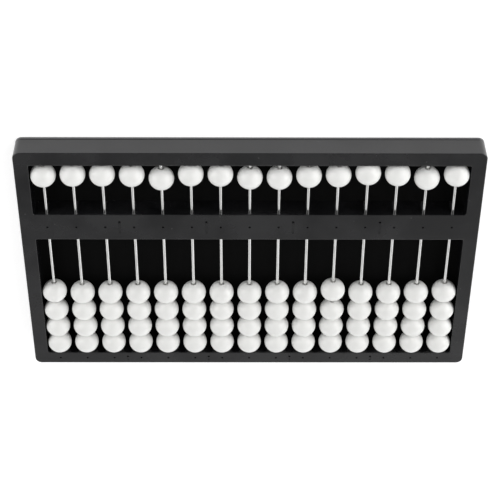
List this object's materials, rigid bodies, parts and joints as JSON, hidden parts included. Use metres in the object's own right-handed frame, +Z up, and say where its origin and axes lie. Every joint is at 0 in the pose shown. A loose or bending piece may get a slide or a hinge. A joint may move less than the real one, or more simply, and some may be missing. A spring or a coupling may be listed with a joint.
{
  "type": "abacus",
  "caption": "Counting frame with beads that slide on rods in an upper and a lower deck, and a plate that closes the back.",
  "frame": {"origin": "centre of the underside, on the surface that the abacus lies on", "axes": "+X along the length, +Y towards the upper deck, +Z up out of the face"},
  "size_m": [0.24, 0.1442, 0.0181],
  "materials": {
    "frame_plastic": "black moulded ABS with a satin surface",
    "bead_plastic": "white moulded polystyrene with a soft gloss",
    "rod_steel": "drawn steel wire, bare"
  },
  "bodies": {
    "frame": {"frame": "frame_plastic", "back_cover": "frame_plastic", "rods_01_03": "rod_steel", "rods_04_06": "rod_steel", "rods_07_09": "rod_steel", "rods_10_12": "rod_steel", "rods_13_15": "rod_steel"},
    "upper_bead_01": {"upper_bead_01": "bead_plastic"},
    "lower_beads_01": {"lower_beads_01": "bead_plastic"},
    "lower_top_bead_01": {"lower_top_bead_01": "bead_plastic"},
    "upper_bead_02": {"upper_bead_02": "bead_plastic"},
    "lower_beads_02": {"lower_beads_02": "bead_plastic"},
    "lower_top_bead_02": {"lower_top_bead_02": "bead_plastic"},
    "upper_bead_03": {"upper_bead_03": "bead_plastic"},
    "lower_beads_03": {"lower_beads_03": "bead_plastic"},
    "lower_top_bead_03": {"lower_top_bead_03": "bead_plastic"},
    "upper_bead_04": {"upper_bead_04": "bead_plastic"},
    "lower_beads_04": {"lower_beads_04": "bead_plastic"},
    "lower_top_bead_04": {"lower_top_bead_04": "bead_plastic"},
    "upper_bead_05": {"upper_bead_05": "bead_plastic"},
    "lower_beads_05": {"lower_beads_05": "bead_plastic"},
    "lower_top_bead_05": {"lower_top_bead_05": "bead_plastic"},
    "upper_bead_06": {"upper_bead_06": "bead_plastic"},
    "lower_beads_06": {"lower_beads_06": "bead_plastic"},
    "lower_top_bead_06": {"lower_top_bead_06": "bead_plastic"},
    "upper_bead_07": {"upper_bead_07": "bead_plastic"},
    "lower_beads_07": {"lower_beads_07": "bead_plastic"},
    "lower_top_bead_07": {"lower_top_bead_07": "bead_plastic"},
    "upper_bead_08": {"upper_bead_08": "bead_plastic"},
    "lower_beads_08": {"lower_beads_08": "bead_plastic"},
    "lower_top_bead_08": {"lower_top_bead_08": "bead_plastic"},
    "upper_bead_09": {"upper_bead_09": "bead_plastic"},
    "lower_beads_09": {"lower_beads_09": "bead_plastic"},
    "lower_top_bead_09": {"lower_top_bead_09": "bead_plastic"},
    "upper_bead_10": {"upper_bead_10": "bead_plastic"},
    "lower_beads_10": {"lower_beads_10": "bead_plastic"},
    "lower_top_bead_10": {"lower_top_bead_10": "bead_plastic"},
    "upper_bead_11": {"upper_bead_11": "bead_plastic"},
    "lower_beads_11": {"lower_beads_11": "bead_plastic"},
    "lower_top_bead_11": {"lower_top_bead_11": "bead_plastic"},
    "upper_bead_12": {"upper_bead_12": "bead_plastic"},
    "lower_beads_12": {"lower_beads_12": "bead_plastic"},
    "lower_top_bead_12": {"lower_top_bead_12": "bead_plastic"},
    "upper_bead_13": {"upper_bead_13": "bead_plastic"},
    "lower_beads_13": {"lower_beads_13": "bead_plastic"},
    "lower_top_bead_13": {"lower_top_bead_13": "bead_plastic"},
    "upper_bead_14": {"upper_bead_14": "bead_plastic"},
    "lower_beads_14": {"lower_beads_14": "bead_plastic"},
    "lower_top_bead_14": {"lower_top_bead_14": "bead_plastic"},
    "upper_bead_15": {"upper_bead_15": "bead_plastic"},
    "lower_beads_15": {"lower_beads_15": "bead_plastic"},
    "lower_top_bead_15": {"lower_top_bead_15": "bead_plastic"}
  },
  "joints": [
    {"name": "upper_bead_05_slide", "type": "slide", "parent": "frame", "child": "upper_bead_05", "axis": [0, -1, 0], "range_m": [-0.00345, 0.01555]},
    {"name": "lower_beads_05_slide", "type": "slide", "parent": "frame", "child": "lower_beads_05", "axis": [0, 1, 0], "range_m": [0, 0.0326]},
    {"name": "lower_top_bead_05_slide", "type": "slide", "parent": "lower_beads_05", "child": "lower_top_bead_05", "axis": [0, -1, 0], "range_m": [-0.0326, 0]},
    {"name": "upper_bead_11_slide", "type": "slide", "parent": "frame", "child": "upper_bead_11", "axis": [0, -1, 0], "range_m": [-0.00135, 0.01765]},
    {"name": "lower_beads_11_slide", "type": "slide", "parent": "frame", "child": "lower_beads_11", "axis": [0, 1, 0], "range_m": [0, 0.0308]},
    {"name": "lower_top_bead_11_slide", "type": "slide", "parent": "lower_beads_11", "child": "lower_top_bead_11", "axis": [0, -1, 0], "range_m": [-0.0308, 0.0018]},
    {"name": "upper_bead_01_slide", "type": "slide", "parent": "frame", "child": "upper_bead_01", "axis": [0, -1, 0], "range_m": [-0.00165, 0.01735]},
    {"name": "lower_beads_01_slide", "type": "slide", "parent": "frame", "child": "lower_beads_01", "axis": [0, 1, 0], "range_m": [0, 0.0317]},
    {"name": "lower_top_bead_01_slide", "type": "slide", "parent": "lower_beads_01", "child": "lower_top_bead_01", "axis": [0, -1, 0], "range_m": [-0.0317, 0.0009]},
    {"name": "upper_bead_08_slide", "type": "slide", "parent": "frame", "child": "upper_bead_08", "axis": [0, -1, 0], "range_m": [-0.00285, 0.01615]},
    {"name": "lower_beads_08_slide", "type": "slide", "parent": "frame", "child": "lower_beads_08", "axis": [0, 1, 0], "range_m": [0, 0.0326]},
    {"name": "lower_top_bead_08_slide", "type": "slide", "parent": "lower_beads_08", "child": "lower_top_bead_08", "axis": [0, -1, 0], "range_m": [-0.0326, 0]},
    {"name": "upper_bead_15_slide", "type": "slide", "parent": "frame", "child": "upper_bead_15", "axis": [0, -1, 0], "range_m": [-0.00095, 0.01805]},
    {"name": "lower_beads_15_slide", "type": "slide", "parent": "frame", "child": "lower_beads_15", "axis": [0, 1, 0], "range_m": [0, 0.0316]},
    {"name": "lower_top_bead_15_slide", "type": "slide", "parent": "lower_beads_15", "child": "lower_top_bead_15", "axis": [0, -1, 0], "range_m": [-0.0316, 0.001]},
    {"name": "upper_bead_12_slide", "type": "slide", "parent": "frame", "child": "upper_bead_12", "axis": [0, -1, 0], "range_m": [-0.00005, 0.01895]},
    {"name": "lower_beads_12_slide", "type": "slide", "parent": "frame", "child": "lower_beads_12", "axis": [0, 1, 0], "range_m": [0, 0.0326]},
    {"name": "lower_top_bead_12_slide", "type": "slide", "parent": "lower_beads_12", "child": "lower_top_bead_12", "axis": [0, -1, 0], "range_m": [-0.0326, 0]},
    {"name": "upper_bead_14_slide", "type": "slide", "parent": "frame", "child": "upper_bead_14", "axis": [0, -1, 0], "range_m": [-0.00305, 0.01595]},
    {"name": "lower_beads_14_slide", "type": "slide", "parent": "frame", "child": "lower_beads_14", "axis": [0, 1, 0], "range_m": [0, 0.0323]},
    {"name": "lower_top_bead_14_slide", "type": "slide", "parent": "lower_beads_14", "child": "lower_top_bead_14", "axis": [0, -1, 0], "range_m": [-0.0323, 0.0003]},
    {"name": "upper_bead_09_slide", "type": "slide", "parent": "frame", "child": "upper_bead_09", "axis": [0, -1, 0], "range_m": [-0.00295, 0.01605]},
    {"name": "lower_beads_09_slide", "type": "slide", "parent": "frame", "child": "lower_beads_09", "axis": [0, 1, 0], "range_m": [0, 0.03245]},
    {"name": "lower_top_bead_09_slide", "type": "slide", "parent": "lower_beads_09", "child": "lower_top_bead_09", "axis": [0, -1, 0], "range_m": [-0.03245, 0.00015]},
    {"name": "upper_bead_02_slide", "type": "slide", "parent": "frame", "child": "upper_bead_02", "axis": [0, -1, 0], "range_m": [-0.00115, 0.01785]},
    {"name": "lower_beads_02_slide", "type": "slide", "parent": "frame", "child": "lower_beads_02", "axis": [0, 1, 0], "range_m": [0, 0.0326]},
    {"name": "lower_top_bead_02_slide", "type": "slide", "parent": "lower_beads_02", "child": "lower_top_bead_02", "axis": [0, -1, 0], "range_m": [-0.0326, 0]},
    {"name": "upper_bead_03_slide", "type": "slide", "parent": "frame", "child": "upper_bead_03", "axis": [0, -1, 0], "range_m": [-0.00105, 0.01795]},
    {"name": "lower_beads_03_slide", "type": "slide", "parent": "frame", "child": "lower_beads_03", "axis": [0, 1, 0], "range_m": [0, 0.0326]},
    {"name": "lower_top_bead_03_slide", "type": "slide", "parent": "lower_beads_03", "child": "lower_top_bead_03", "axis": [0, -1, 0], "range_m": [-0.0326, 0]},
    {"name": "upper_bead_04_slide", "type": "slide", "parent": "frame", "child": "upper_bead_04", "axis": [0, -1, 0], "range_m": [-0.00135, 0.01765]},
    {"name": "lower_beads_04_slide", "type": "slide", "parent": "frame", "child": "lower_beads_04", "axis": [0, 1, 0], "range_m": [0, 0.0326]},
    {"name": "lower_top_bead_04_slide", "type": "slide", "parent": "lower_beads_04", "child": "lower_top_bead_04", "axis": [0, -1, 0], "range_m": [-0.0326, 0]},
    {"name": "upper_bead_06_slide", "type": "slide", "parent": "frame", "child": "upper_bead_06", "axis": [0, -1, 0], "range_m": [-0.00085, 0.01815]},
    {"name": "lower_beads_06_slide", "type": "slide", "parent": "frame", "child": "lower_beads_06", "axis": [0, 1, 0], "range_m": [0, 0.0326]},
    {"name": "lower_top_bead_06_slide", "type": "slide", "parent": "lower_beads_06", "child": "lower_top_bead_06", "axis": [0, -1, 0], "range_m": [-0.0326, 0]},
    {"name": "upper_bead_07_slide", "type": "slide", "parent": "frame", "child": "upper_bead_07", "axis": [0, -1, 0], "range_m": [-0.00105, 0.01795]},
    {"name": "lower_beads_07_slide", "type": "slide", "parent": "frame", "child": "lower_beads_07", "axis": [0, 1, 0], "range_m": [0, 0.0326]},
    {"name": "lower_top_bead_07_slide", "type": "slide", "parent": "lower_beads_07", "child": "lower_top_bead_07", "axis": [0, -1, 0], "range_m": [-0.0326, 0]},
    {"name": "upper_bead_10_slide", "type": "slide", "parent": "frame", "child": "upper_bead_10", "axis": [0, -1, 0], "range_m": [-0.00175, 0.01725]},
    {"name": "lower_beads_10_slide", "type": "slide", "parent": "frame", "child": "lower_beads_10", "axis": [0, 1, 0], "range_m": [0, 0.0326]},
    {"name": "lower_top_bead_10_slide", "type": "slide", "parent": "lower_beads_10", "child": "lower_top_bead_10", "axis": [0, -1, 0], "range_m": [-0.0326, 0]},
    {"name": "upper_bead_13_slide", "type": "slide", "parent": "frame", "child": "upper_bead_13", "axis": [0, -1, 0], "range_m": [-0.00065, 0.01835]},
    {"name": "lower_beads_13_slide", "type": "slide", "parent": "frame", "child": "lower_beads_13", "axis": [0, 1, 0], "range_m": [0, 0.0326]},
    {"name": "lower_top_bead_13_slide", "type": "slide", "parent": "lower_beads_13", "child": "lower_top_bead_13", "axis": [0, -1, 0], "range_m": [-0.0326, 0]}
  ]
}
